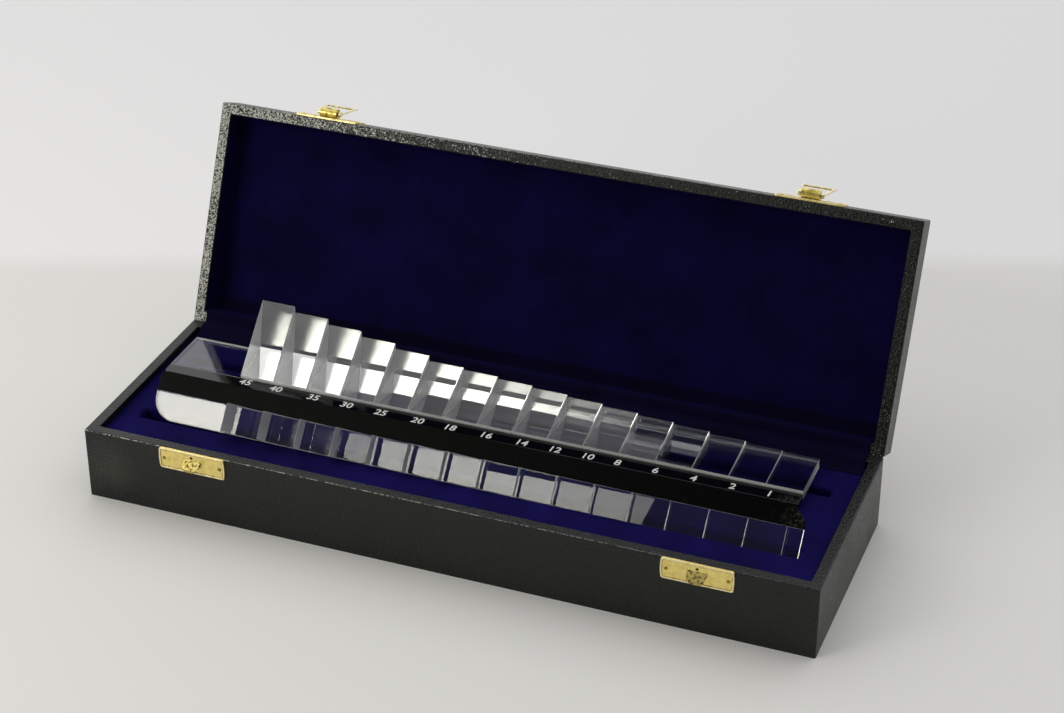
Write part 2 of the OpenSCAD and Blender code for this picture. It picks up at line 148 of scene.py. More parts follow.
class PrismCaseSizes(bpy.types.PropertyGroup):
    """Sizes of the case's finish."""
    wall: length("Wall", "Thickness of the walls with their covering", 6.2 * MM)
    cloth: length("Leathercloth", "Thickness of the leathercloth", 0.5 * MM)
    turn_in_base: length("Base turn-in", "Depth of the leathercloth inside the base's rim", 4.6 * MM)
    turn_in_lid: length("Lid turn-in", "Depth of the leathercloth inside the lid's rim", 1.0 * MM)
    edge: length("Edge", "Rounding of the case's outer edges", 0.9 * MM)
    velvet_drop: length("Velvet drop", "Depth of the velvet below the base's rim", 3.8 * MM)
    slit_end: length("Slit end", "Distance from each end of the case to the slits", 18 * MM)
    front_slit: length("Front slit", "Width of the front slit", 7.5 * MM)
    back_slit: length("Back slit", "Width of the back slit", 6.0 * MM)
    lip: length("Lip", "Depth of the velvet lips in the slits", 8 * MM)
    strip_end: length("Strip end", "Distance from each end of the case to the hinge velvet", 8 * MM)


class PrismBarSizes(bpy.types.PropertyGroup):
    """Sizes of the bars' finish."""
    polished_edge: length("Polished edge", "Width of the edges broken on the clear plastic", 0.22 * MM)
    handle_corner: length("Handle corner", "Rounding of the narrow handle's cut corner", 4.2 * MM)
    air_gap: length("Air gap", "Air between a prism's foot and its carrier", 0.03 * MM)
    clear_foot: length("Clear foot", "Height of the clear band at the foot of a wide prism's back", 2.5 * MM)
    number_height: length("Number height", "Height of the printed numbers", 4.9 * MM)
    number_weight: length("Number weight", "Thickening of the printed numbers' strokes", 0.09 * MM)
    number_slant: share("Number slant", "Slant of the printed numbers", 0.06)


class CatchSizes(bpy.types.PropertyGroup):
    """Sizes of the catches' finish."""
    plate_edge: length("Plate edge", "Rounding of the pressed plates' edges", 0.3 * MM)
    plate_border: length("Plate border", "Width of the raised border round the pressed plates", 0.9 * MM)
    bead_height: length("Bead height", "Height of the raised border round the pressed plates", 0.3 * MM)
    hoop_edge: length("Hoop edge", "Rounding of the hoops' edges", 0.28 * MM)


class PrismCaseColours(bpy.types.PropertyGroup):
    """Colours of the finishes."""
    leathercloth: colour("Leathercloth", "Black of the leathercloth", "#0b0c0b")
    worn: colour("Worn edge", "Pale backing where the leathercloth's edges are worn", "#e2dfd2")
    base_velvet: colour("Base velvet", "Deep blue of the base's velvet", "#0d0842")
    # Painted shade: the lid's velvet is the base's velvet in a darker blue, for the lid's shade
    lid_velvet: colour("Lid velvet", "Deep blue of the lid's velvet", "#0b0634")
    brass: colour("Brass", "Yellow of the pressed brass", "#fbe68e")
    black_acrylic: colour("Black acrylic", "Black of the strips", "#060606")
    paint: colour("Paint", "White of the printed numbers", "#e9e9e6")
    foam: colour("Foam", "Grey of the foam", "#4a4a4c")
    wood: colour("Wood", "Brown of the boards", "#9c7a52")
    floor: colour("Floor", "Pale grey of the floor", "#e5e4e1")
    # Painted light: the lighter grey that the flat card takes beyond the line, for a backdrop in more light
    backdrop: colour("Backdrop", "Pale grey of the backdrop", "#f0eff0")


# ---- Materials ----

def adjust(item, **settings):
    """Gives a node, a modifier or other data its settings."""
    for name, value in settings.items():
        setattr(item, name, value)
    return item


def tone(value, factor=1.0):
    """A linear colour with alpha, from an sRGB hex value, the name of one of the user's colours or a grey's
    share. The factor makes it darker or brighter."""
    if not isinstance(value, str):
        parts = (value, value, value)
    elif value.startswith("#"):
        parts = to_linear(value)[:3]
    else:
        parts = getattr(bpy.context.scene.prism_case_colours, value)
    return (*(part * factor for part in parts), 1.0)


def add(tree, kind, inputs=None, out=0, stops=(), **settings):
    """Adds a shader node with its settings, inputs and ramp stops, and gives the output asked for. An input
    is a number, a vector, a colour as tone takes it, or another node's output. A stop is its place and what
    tone takes."""
    node = adjust(tree.nodes.new("ShaderNode" + kind), **settings)
    for name, value in (inputs or {}).items():
        if isinstance(value, bpy.types.NodeSocket):
            tree.links.new(value, node.inputs[name])
        else:
            node.inputs[name].default_value = tone(value) if isinstance(value, str) else value
    if stops:
        elements = node.color_ramp.elements
        elements.remove(elements[-1])
        for i, (place, *value) in enumerate(stops):
            element = elements.new(place) if i else elements[0]
            element.position = place
            element.color = tone(*value)
    return node.outputs[out] if node.outputs else None


def leathercloth(tree, place):
    """Black leathercloth, embossed and lacquered: pebbles a good millimetre across, each with its own
    small highlight, between dull furrows. Its pale backing shows at the worn edges, the lid's rim carries
    a painted highlight in grey grains, and the base's front carries a soft painted sheen."""
    # Pebbles 1.3 mm apart
    pebbles = add(tree, "TexVoronoi", {"Vector": place, "Scale": 1 / (1.3 * MM), "Randomness": 0.95})
    # Finer creases 0.6 mm apart
    creases = add(tree, "TexNoise", {"Vector": place, "Scale": 1 / (0.6 * MM), "Detail": 3.0})
    # Handling marks and dust, 25 mm across
    marks = add(tree, "TexNoise", {"Vector": place, "Scale": 1 / (25 * MM), "Detail": 4.0, "Roughness": 0.6})
    furrow = add(tree, "ValToRGB", {"Fac": pebbles}, stops=((0.25, 1.0), (0.62, 0.0)))
    relief = add(tree, "Mix", {0: 0.35, 2: furrow, 3: creases})
    bump = add(tree, "Bump", {"Strength": 1.0, "Distance": 0.3 * MM, "Height": relief})
    dusty = add(tree, "ValToRGB", {"Fac": marks}, stops=((0.35, "leathercloth"), (0.75, "#161715")))
    # Worn through in dots and dashes along the front edge, 2 mm long
    worn = add(tree, "Attribute", out="Fac", attribute_name="worn", attribute_type="GEOMETRY")
    dashes = add(tree, "TexNoise", {"Vector": place, "Scale": 1 / (2 * MM), "Detail": 5.0, "Roughness": 0.75})
    patchy = add(tree, "ValToRGB", {"Fac": dashes}, stops=((0.46, 0.0), (0.54, 1.0)))
    bare = add(tree, "Math", {0: worn, 1: patchy}, operation="MULTIPLY")
    tint = add(tree, "Mix", {0: bare, 6: dusty, 7: "worn"}, out=2, data_type="RGBA")
    # Painted sheen: a soft grey patch at the left end of the base's front, about 30 mm across
    patches = add(tree, "TexNoise", {"Vector": place, "Scale": 1 / (12 * MM), "Detail": 2.0})
    middle = (-HALF_L + 15 * MM, FRONT_Y, RIM_Z / 2)
    away = add(tree, "VectorMath", {0: place, 1: middle}, out="Value", operation="DISTANCE")
    painted_sheen = add(tree, "MapRange", {"Value": away, "From Min": 18 * MM, "From Max": 2 * MM, "To Max": 0.6})
    thin = add(tree, "Math", {0: painted_sheen, 1: patches}, operation="MULTIPLY")
    with_painted_sheen = add(tree, "Mix", {0: thin, 6: tint, 7: "#4c4d40"}, out=2, data_type="RGBA")
    # Painted highlight: grey grains 1 mm across on the lid's rim stand for the light raking its grain, less
    # and less so from left to right as the light falls
    rubbed = add(tree, "Attribute", out="Fac", attribute_name="rubbed", attribute_type="GEOMETRY")
    grains = add(tree, "TexNoise", {"Vector": place, "Scale": 1 / (1 * MM), "Detail": 1.0, "Distortion": 1.2})
    across = add(tree, "SeparateXYZ", {"Vector": place}, out="X")
    painted_highlight_falloff = add(tree, "MapRange", {
        "Value": across, "From Min": -0.17, "From Max": 0.02, "To Min": 0.5, "To Max": 0.24})
    uneven = add(tree, "Math", {0: patches, 1: 0.16, 2: -0.08}, operation="MULTIPLY_ADD")
    level = add(tree, "Math", {0: painted_highlight_falloff, 1: uneven}, operation="ADD")
    over = add(tree, "Math", {0: level, 1: grains}, operation="SUBTRACT")
    crisp = add(tree, "Math", {0: over, 1: 14.0, 2: 0.5}, operation="MULTIPLY_ADD", use_clamp=True)
    grey = add(tree, "Math", {0: rubbed, 1: crisp}, operation="MULTIPLY")
    # Mixes in the grey of the painted highlight on the rim
    with_rim_painted_highlight = add(tree, "Mix", {0: grey, 6: with_painted_sheen, 7: "#c6c7be"}, out=2, data_type="RGBA")
    gloss = add(tree, "ValToRGB", {"Fac": marks}, stops=((0.3, 0.28), (0.7, 0.40)))
    return add(tree, "BsdfPrincipled", {
        "Base Color": with_rim_painted_highlight, "Roughness": gloss, "Normal": bump, "IOR": 1.5, "Specular IOR Level": 0.38})


def velvet(tree, place, shade, light):
    """Cotton velvet, cut pile: near black where the pile is seen end on and bluer where it leans, in soft
    patches where it has been stroked, with a fine nap."""
    # Stroked patches 28 mm across
    patches = add(tree, "TexNoise", {
        "Vector": place, "Scale": 1 / (28 * MM), "Detail": 3.0, "Roughness": 0.55})
    # Tufts of the nap, drawn 0.7 mm apart, twice as coarse as real, so that they show
    nap = add(tree, "TexNoise", {"Vector": place, "Scale": 1 / (0.7 * MM), "Detail": 2.0})
    pile = add(tree, "ValToRGB", {"Fac": patches}, stops=((0.32, shade, 0.72), (0.68, shade, 1.35)))
    flecks = add(tree, "ValToRGB", {"Fac": nap}, stops=((0.35, 0.72), (0.65, 1.22)))
    tint = add(tree, "Mix", {0: 1.0, 6: pile, 7: flecks}, out=2, data_type="RGBA", blend_type="MULTIPLY")
    bump = add(tree, "Bump", {"Strength": 0.4, "Distance": 0.25 * MM, "Height": nap})
    return add(tree, "BsdfPrincipled", {
        "Base Color": tint, "Normal": bump, "Roughness": 0.95, "Specular IOR Level": 0.08,
        "Sheen Weight": 0.16, "Sheen Roughness": 0.42, "Sheen Tint": light})


def brass(tree, place, roughness, bright, dull, spot=3 * MM):
    """Brass, stamped from sheet and polished, a little tarnished: bright where it turns to the light, with
    fine rubbing scratches and browner spots."""
    # Tarnish in spots, 3 mm across on the flat sheet and finer on the hook
    spots = add(tree, "TexNoise", {"Vector": place, "Scale": 1 / spot, "Detail": 5.0, "Roughness": 0.65})
    # Rubbing marks 0.4 mm apart
    rubbing = add(tree, "TexNoise", {"Vector": place, "Scale": 1 / (0.4 * MM), "Detail": 2.0})
    tint = add(tree, "ValToRGB", {"Fac": spots}, stops=((0.36, dull), (0.55, bright)))
    gloss = add(tree, "ValToRGB", {"Fac": spots}, stops=((0.35, roughness + 0.12), (0.65, roughness)))
    bump = add(tree, "Bump", {"Strength": 0.12, "Distance": 0.1 * MM, "Height": rubbing})
    return add(tree, "BsdfPrincipled", {
        "Base Color": tint, "Roughness": gloss, "Normal": bump, "Metallic": 1.0})


def clear_acrylic(tree, place, roughness, bump_strength, tint, clear):
    """Clear acrylic: all it shows is what it bends and mirrors. Its polished faces carry faint wipe marks;
    its sawn and ground faces scatter the light to an even white-grey."""
    # Wipe marks 8 mm across, or the tooth of the grinding 0.3 mm apart
    fine = 8 * MM if roughness < 0.1 else 0.3 * MM
    marks = add(tree, "TexNoise", {"Vector": place, "Scale": 1 / fine, "Detail": 3.0})
    gloss = add(tree, "ValToRGB", {"Fac": marks}, stops=((0.3, roughness), (0.8, roughness * 1.3 + 0.015)))
    inputs = {"Base Color": tint, "Roughness": gloss, "IOR": 1.49, "Transmission Weight": clear}
    if bump_strength:
        inputs["Normal"] = add(tree, "Bump", {
            "Strength": bump_strength, "Distance": 0.05 * MM, "Height": marks})
    plastic = add(tree, "BsdfPrincipled", inputs)
    # About half of the lamps' light passes through each face to the velvet below
    through = add(tree, "BsdfTransparent", {"Color": (0.5, 0.51, 0.53, 1)})
    shadow = add(tree, "LightPath", out="Is Shadow Ray")
    return add(tree, "MixShader", {0: shadow, 1: plastic, 2: through})


def cemented_acrylic(tree, place):
    """Clear acrylic cemented to clear acrylic: the joint neither mirrors nor bends light, so it can't be
    seen."""
    return add(tree, "BsdfTransparent", {"Color": (1, 1, 1, 1)})


def black_acrylic(tree, place, rough, shine, node):
    """Black acrylic: a deep black, mirror-like where it is polished and quiet where it is satin, with a few
    fine scratches from handling, and grey scuffs at the far end of its lower edge."""
    # Scratches 2.5 mm apart
    scratches = add(tree, "TexNoise", {
        "Vector": place, "Scale": 1 / (2.5 * MM), "Detail": 6.0, "Roughness": 0.7})
    black = add(tree, "ValToRGB", {"Fac": scratches}, stops=((0.62, "black_acrylic"), (0.80, "#2a2a2a")))
    # The scuffed end, 20 mm across, in scuffs of 1.5 mm
    low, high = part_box(node)
    corner = (high.x - 5 * MM, low.y, (low.z + high.z) / 2)
    away = add(tree, "VectorMath", {0: place, 1: corner}, out="Value", operation="DISTANCE")
    end = add(tree, "MapRange", {"Value": away, "From Min": 10 * MM, "From Max": 3 * MM, "To Max": 0.42})
    scuffs = add(tree, "TexNoise", {
        "Vector": place, "Scale": 1 / (1.5 * MM), "Detail": 6.0, "Roughness": 0.8})
    crisp = add(tree, "Math", {0: scuffs, 1: 6.0, 2: -3.0}, operation="MULTIPLY_ADD", use_clamp=True)
    grey = add(tree, "Math", {0: end, 1: crisp}, operation="MULTIPLY")
    tint = add(tree, "Mix", {0: grey, 6: black, 7: "#8a8a84"}, out=2, data_type="RGBA")
    gloss = add(tree, "ValToRGB", {"Fac": scratches}, stops=((0.4, rough), (0.75, rough + 0.15)))
    return add(tree, "BsdfPrincipled", {
        "Base Color": tint, "Roughness": gloss, "IOR": 1.49, "Specular IOR Level": shine})


def number_paint(tree, place):
    """White screen paint: matt, a little thin in places."""
    # Thin places 0.8 mm across
    thin = add(tree, "TexNoise", {"Vector": place, "Scale": 1 / (0.8 * MM), "Detail": 3.0})
    tint = add(tree, "ValToRGB", {"Fac": thin}, stops=((0.3, "#b9b9b6"), (0.5, "paint")))
    return add(tree, "BsdfPrincipled", {"Base Color": tint, "Roughness": 0.5})


def foam_rubber(tree, place):
    """Polyether foam, cut: matt grey with open cells a millimetre across."""
    cells = add(tree, "TexVoronoi", {"Vector": place, "Scale": 1 / (1.0 * MM)})
    tint = add(tree, "ValToRGB", {"Fac": cells}, stops=((0.1, "foam", 0.5), (0.5, "foam")))
    bump = add(tree, "Bump", {"Strength": 0.8, "Distance": 0.3 * MM, "Height": cells})
    return add(tree, "BsdfPrincipled", {"Base Color": tint, "Normal": bump, "Roughness": 1.0})


def board_wood(tree, place):
    """Thin softwood board, planed: pale brown with close grain lines along its length."""
    # Grain lines 1.2 mm apart, drawn out along X
    stretch = add(tree, "Mapping", {"Vector": place, "Scale": (0.06, 1.0, 1.0)})
    grain = add(tree, "TexNoise", {"Vector": stretch, "Scale": 1 / (1.2 * MM), "Detail": 4.0})
    tint = add(tree, "ValToRGB", {"Fac": grain}, stops=((0.3, "wood", 0.55), (0.65, "wood")))
    bump = add(tree, "Bump", {"Strength": 0.3, "Distance": 0.15 * MM, "Height": grain})
    return add(tree, "BsdfPrincipled", {"Base Color": tint, "Normal": bump, "Roughness": 0.75})


def paper_floor(tree, place):
    """Matt white card, lying flat: pale grey, and a shade lighter beyond a soft line. The lighter part is
    painted light that stands for a backdrop rising there."""
    # Distance along the card from the line where the painted backdrop light begins, and a band of 24 mm about
    # it
    turned = add(tree, "Mapping", {"Vector": place, "Location": PAINTED_LIGHT_LINE_PLACE, "Rotation": PAINTED_LIGHT_LINE_TURN})
    along = add(tree, "SeparateXYZ", {"Vector": turned}, out="Y")
    rise = add(tree, "MapRange", {"Value": along, "From Min": -12 * MM, "From Max": 12 * MM})
    tint = add(tree, "Mix", {0: rise, 6: "floor", 7: "backdrop"}, out=2, data_type="RGBA")
    return add(tree, "BsdfPrincipled", {"Base Color": tint, "Roughness": 1.0, "Specular IOR Level": 0.1})


# Each finish: its material's name, the function that makes it, and what that function is given. Velvet
# takes its colour and its sheen's; brass its roughness, its bright and dull colours and the spots' size;
# clear acrylic its roughness, bump, tint and clearness; black acrylic its roughness, shine and CAD node
FINISHES = {
    "leathercloth": ("leathercloth_black_pebbled", leathercloth),
    "base_velvet": ("velvet_blue_base", velvet, "base_velvet", "#3a30c8"),
    # The lid's velvet and its sheen are darker copies of the base's: painted shade
    "lid_velvet": ("velvet_blue_lid", velvet, "lid_velvet", "#2a20a0"),
    # Painted shade: the hinge strip's velvet is a near-black blue, for the shade behind the bars
    "hinge_velvet": ("velvet_blue_hinge", velvet, "#070420", "#2a20a0"),
    "plate_brass": ("brass_pressed_polished", brass, 0.3, "brass", "#ecd27c"),
    "hoop_brass": ("brass_wire_polished", brass, 0.2, "#f1eac8", "#cdbf92"),
    # Painted highlight: a paler, brighter copy of the plate's brass, for the raised border
    "border_brass": ("brass_border_rubbed", brass, 0.26, "#fff2c6", "#f3e09a"),
    "lid_brass": ("brass_lid_plate", brass, 0.36, "#efe3a8", "#cdbb76"),
    "knuckle_brass": ("brass_knuckle", brass, 0.26, "#e3d07a", "#8c7b30"),
    # Painted shade: the hook's brass is a darker copy of the plate's, with dark tarnish spots
    "hook_brass": ("brass_hook_worn", brass, 0.4, "#c8b670", "#3a280c", 1.6 * MM),
    # Painted shade, with some tarnish: the darkest brass, on the hook's faces that look aside
    "hook_tarnish": ("brass_hook_tarnished", brass, 0.5, "#6e5522", "#3c2c0c"),
    "tack_brass": ("brass_tack_dull", brass, 0.34, "#b3944a", "#5f481c"),
    "polished": ("acrylic_clear_polished", clear_acrylic, 0.0, 0.0, "#fdfefe", 1.0),
    "ground": ("acrylic_clear_ground", clear_acrylic, 0.32, 0.3, "#fdfefb", 0.72),
    "sawn": ("acrylic_clear_sawn", clear_acrylic, 0.45, 0.5, "#ffffff", 0.3),
    "cemented": ("acrylic_clear_cemented", cemented_acrylic),
    "back": ("acrylic_clear_back", clear_acrylic, 0.2, 0.3, "#fdfefb", 0.94),
    "clear_back": ("acrylic_clear_smoothed", clear_acrylic, 0.1, 0.15, "#fdfefb", 0.98),
    "black": ("acrylic_black_polished", black_acrylic, 0.07, 0.5, "wide_bar_number_strip"),
    "satin": ("acrylic_black_satin", black_acrylic, 0.3, 0.04, "narrow_bar_black_strip"),
    "paint": ("screen_paint_white", number_paint),
    "foam": ("foam_grey_cut", foam_rubber),
    "wood": ("softwood_board_planed", board_wood),
    "card": ("card_white_matt", paper_floor),
}
# What the faces of a clear piece can be, in the order of its slots
CLEAR_FACES = ("polished", "ground", "sawn", "cemented", "back", "clear_back")
MADE = {}


def finish(name):
    """The material of that finish, made once."""
    if name not in MADE:
        full_name, maker, *given = FINISHES[name]
        material = MADE[name] = bpy.data.materials.new(full_name)
        material.use_nodes = True
        tree = material.node_tree
        tree.nodes.clear()
        place = add(tree, "TexCoord", out="Object")
        add(tree, "OutputMaterial", {"Surface": maker(tree, place, *given)})
    return MADE[name]


# ---- Modelling helpers ----

def solo(piece):
    """Leaves only this piece selected and active, in object mode."""
    if bpy.context.object and bpy.context.object.mode != "OBJECT":
        bpy.ops.object.mode_set(mode="OBJECT")
    bpy.ops.object.select_all(action="DESELECT")
    piece.select_set(True)
    bpy.context.view_layer.objects.active = piece


def new_piece(name, data):
    """A piece of the scene from its data."""
    piece = bpy.data.objects.new(name, data)
    bpy.context.scene.collection.objects.link(piece)
    return piece


def block(name, low, high):
    """A cuboid from its lowest to its highest corner, with its place in its mesh."""
    bpy.ops.object.select_all(action="DESELECT")
    middle = [(a + b) / 2 for a, b in zip(low, high)]
    size = [b - a for a, b in zip(low, high)]
    bpy.ops.mesh.primitive_cube_add(size=1, location=middle, scale=size)
    piece = bpy.context.object
    piece.name = piece.data.name = name
    bpy.ops.object.transform_apply(location=True, rotation=True, scale=True)
    return piece


def flat_piece(name, middle, size):
    """A level rectangle of that size about its middle."""
    bpy.ops.object.select_all(action="DESELECT")
    bpy.ops.mesh.primitive_plane_add(size=1, location=(0, 0, 0))
    piece = bpy.context.object
    piece.name = piece.data.name = name
    with picked(piece, "FACE"):
        bpy.ops.transform.resize(value=(size[0], size[1], 1))
        bpy.ops.transform.translate(value=middle)
    return piece


@contextmanager
def picked(piece, kind, test=lambda *parts: True):
    """Edit mode with the corners, edges or faces selected that pass the test, or all of them, and object
    mode afterwards."""
    solo(piece)
    mesh = piece.data
    bpy.context.tool_settings.mesh_select_mode = (kind == "VERT", kind == "EDGE", kind == "FACE")
    for items in (mesh.vertices, mesh.edges, mesh.polygons):
        items.foreach_set("select", [False] * len(items))
    if kind == "FACE":
        for face in mesh.polygons:
            face.select = test(face.center, face.normal)
    elif kind == "EDGE":
        for edge in mesh.edges:
            edge.select = test(*(mesh.vertices[i].co for i in edge.vertices))
    else:
        for corner in mesh.vertices:
            corner.select = test(corner.co)
    bpy.ops.object.mode_set(mode="EDIT")
    yield
    bpy.ops.object.mode_set(mode="OBJECT")


def cut(piece, planes):
    """Cuts a piece's faces along planes, each given by a point and its normal."""
    with picked(piece, "FACE"):
        for point, normal in planes:
            bpy.ops.mesh.select_all(action="SELECT")
            bpy.ops.mesh.bisect(plane_co=point, plane_no=normal)


def even_cuts(low, high, count, way):
    """Planes that part a length along the way into equal parts."""
    return [(way * (low + i * (high - low) / count), way) for i in range(1, count)]


def modify(piece, kind, **settings):
    """Adds a modifier with its settings and applies it."""
    solo(piece)
    modifier = adjust(piece.modifiers.new(kind.title(), kind), **settings)
    bpy.ops.object.modifier_apply(modifier=modifier.name)


def round_edges(piece, width, degrees, segments=3):
    """Rounds the edges that are sharper than the angle."""
    modify(piece, "BEVEL", width=width, segments=segments, limit_method="ANGLE",
           angle_limit=math.radians(degrees))


def swell(piece, name, size, mid_level):
    """Lets a velvet sheet lie a little unevenly, gives it its thickness and smooths it."""
    texture = adjust(bpy.data.textures.new(name, "CLOUDS"), noise_scale=size)
    modify(piece, "DISPLACE", texture=texture, strength=0.5 * MM, mid_level=mid_level,
           texture_coords="LOCAL", direction="Z")
    modify(piece, "SOLIDIFY", thickness=0.45 * MM, offset=-1)
    smooth(piece, 60)


def smooth(piece, degrees=35):
    """Smooth shading, broken at edges sharper than the angle."""
    solo(piece)
    bpy.ops.object.shade_smooth_by_angle(angle=math.radians(degrees))
    # The big flat faces stay flat, and only the rounded edges between them turn the light
    modify(piece, "WEIGHTED_NORMAL", weight=100, keep_sharp=True)


def copy_of_node(name, node):
    """A clean copy of a CAD node's mesh as a new piece: corners merged, flat faces made whole again."""
    piece = new_piece(name, NODES[node].data.copy())
    piece.data.name = name
    piece.data.materials.clear()
    solo(piece)
    if "custom_normal" in piece.data.attributes:
        piece.data.attributes.remove(piece.data.attributes["custom_normal"])
    bpy.ops.object.mode_set(mode="EDIT")
    bpy.ops.mesh.select_all(action="SELECT")
    bpy.ops.mesh.remove_doubles(threshold=0.002 * MM)
    bpy.ops.mesh.dissolve_limited(angle_limit=math.radians(0.5))
    bpy.ops.object.mode_set(mode="OBJECT")
    return piece


def open_lid(piece):
    """Turns a piece made in the closed lid's place about the hinge line to the open place."""
    solo(piece)
    turn = Matrix.Translation(HINGE) @ LID_TURN.to_4x4() @ Matrix.Translation(-HINGE)
    piece.matrix_world = turn @ piece.matrix_world
    bpy.ops.object.transform_apply(location=True, rotation=True, scale=True)


def mark(piece, name, domain, values):
    """Writes a number from 0 to 1 on every corner or face of the mesh, for the material to read."""
    attribute = piece.data.attributes.new(name, "FLOAT", domain)
    attribute.data.foreach_set("value", values)


def dress(node, look):
    """Gives a CAD node that stays its finish."""
    NODES[node].data.materials.clear()
    NODES[node].data.materials.append(finish(look))


def finish_piece(piece, body, looks, slot, *nodes):
    """Gives a finished piece its finishes and its body, and hides the CAD nodes that it stands for. The slot
    is not used.
    """
    # Clearing the slots would put every face back on the first one, so they are only added
    for look in (looks,) if isinstance(looks, str) else looks:
        piece.data.materials.append(finish(look))
    if nodes:
        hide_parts(*nodes)
    if body:
        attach(piece, body)


# ---- Case ----

def skin(name, low, high, rim_up):
    """A box's leathercloth: outer faces, rim and turn-in, with rounded edges. The base's is open below."""
    sizes = bpy.context.scene.prism_case_sizes
    piece = block(name, low, high)
    way = 1 if rim_up else -1
    rim = high[2] if rim_up else low[2]
    deep = sizes.turn_in_base if rim_up else sizes.turn_in_lid
    with picked(piece, "FACE", lambda c, n: n.z * way > FACING):
        bpy.ops.mesh.inset(thickness=sizes.wall)
        bpy.ops.mesh.extrude_region_move(TRANSFORM_OT_translate={"value": (0, 0, -deep * way)})
        bpy.ops.mesh.delete(type="FACE")
    if rim_up:
        with picked(piece, "FACE", lambda c, n: n.z < -FACING):
            bpy.ops.mesh.delete(type="FACE")

    def outer(p):
        return abs(abs(p.x) - high[0]) < NEAR or abs(p.y - low[1]) < NEAR or abs(p.y - high[1]) < NEAR

    def hinged(p):
        return high[1] - p.y < NEAR and abs(p.z - rim) < NEAR

    # The underside's edges stay square, and so do the two that meet at the hinge
    with picked(piece, "EDGE", lambda a, b: outer(a) and outer(b) and not (rim_up and max(a.z, b.z) < NEAR)
                and not (hinged(a) and hinged(b))):
        bpy.ops.mesh.bevel(offset=sizes.edge, segments=4)
    inside = high[0] - 4 * MM
    long = 50 * MM

    def turned_in(a, b):
        level = abs(a.z - rim) < NEAR and abs(b.z - rim) < NEAR
        within = not outer(a) and not outer(b) and abs(a.x) < inside and abs(b.x) < inside
        return level and within and max(abs(a.x - b.x), abs(a.y - b.y)) > long

    with picked(piece, "EDGE", turned_in):
        bpy.ops.mesh.bevel(offset=0.6 * MM, segments=3)

    def worn(p):
        """How worn a corner of the rounded front edge is: less and less so from left to right."""
        flats = (high[0] - abs(p.x) < NEAR) + (p.y - low[1] < NEAR) + (high[1] - p.y < NEAR)
        flats += (abs(p.z - low[2]) < NEAR) + (abs(p.z - high[2]) < NEAR)
        front = p.y - low[1] < sizes.edge * 0.5 and abs(p.z - rim) < sizes.edge * 0.5
        return max(0.0, 1.0 - 1.6 * (p.x / (2 * high[0]) + 0.5)) if flats == 0 and front else 0.0

    mark(piece, "worn", "POINT", [worn(v.co) for v in piece.data.vertices])
    modify(piece, "SOLIDIFY", thickness=sizes.cloth * 0.9, offset=-1, use_even_offset=True)
    smooth(piece, 40)
    return piece


class PRISM_CASE_OT_base_leathercloth(bpy.types.Operator):
    """Covers the base in leathercloth"""
    bl_idname = "prism_case.base_leathercloth"
    bl_label = "Base leathercloth"

    def execute(self, context):
        piece = skin("base_leathercloth", (-HALF_L, FRONT_Y, 0), (HALF_L, BACK_Y, RIM_Z), True)
        finish_piece(piece, "base", "leathercloth", "black_covering", "base_covering")
        return {"FINISHED"}


class PRISM_CASE_OT_lid_leathercloth(bpy.types.Operator):
    """Covers the lid in leathercloth"""
    bl_idname = "prism_case.lid_leathercloth"
    bl_label = "Lid leathercloth"

    def execute(self, context):
        top = RIM_Z + LID_HEIGHT
        piece = skin("lid_leathercloth", (-HALF_L, FRONT_Y, RIM_Z), (HALF_L, BACK_Y, top), False)
        rim_top = RIM_Z + 0.6 * MM
        # The rim's faces that carry the painted highlight in grey grains
        mark(piece, "rubbed", "FACE",
             [float(f.normal.z < -0.98 and f.center.z < rim_top) for f in piece.data.polygons])
        open_lid(piece)
        finish_piece(piece, "lid", "leathercloth", "black_covering", "lid_covering")
        return {"FINISHED"}


class PRISM_CASE_OT_boards(bpy.types.Operator):
    """Gives the hidden wooden boards their grain"""
    bl_idname = "prism_case.boards"
    bl_label = "Boards"

    def execute(self, context):
        for node in NODES:
            if node.endswith("_board"):
                dress(node, "wood")
        return {"FINISHED"}


class PRISM_CASE_OT_foam_pad(bpy.types.Operator):
    """Fills the base with its slit foam pad"""
    bl_idname = "prism_case.foam_pad"
    bl_label = "Foam pad"

    def execute(self, context):
        piece = copy_of_node("foam_pad_slit", "base_foam_pad")
        round_edges(piece, 0.6 * MM, 30)
        smooth(piece, 50)
        finish_piece(piece, "base", "foam", "foam", "base_foam_pad")
        return {"FINISHED"}


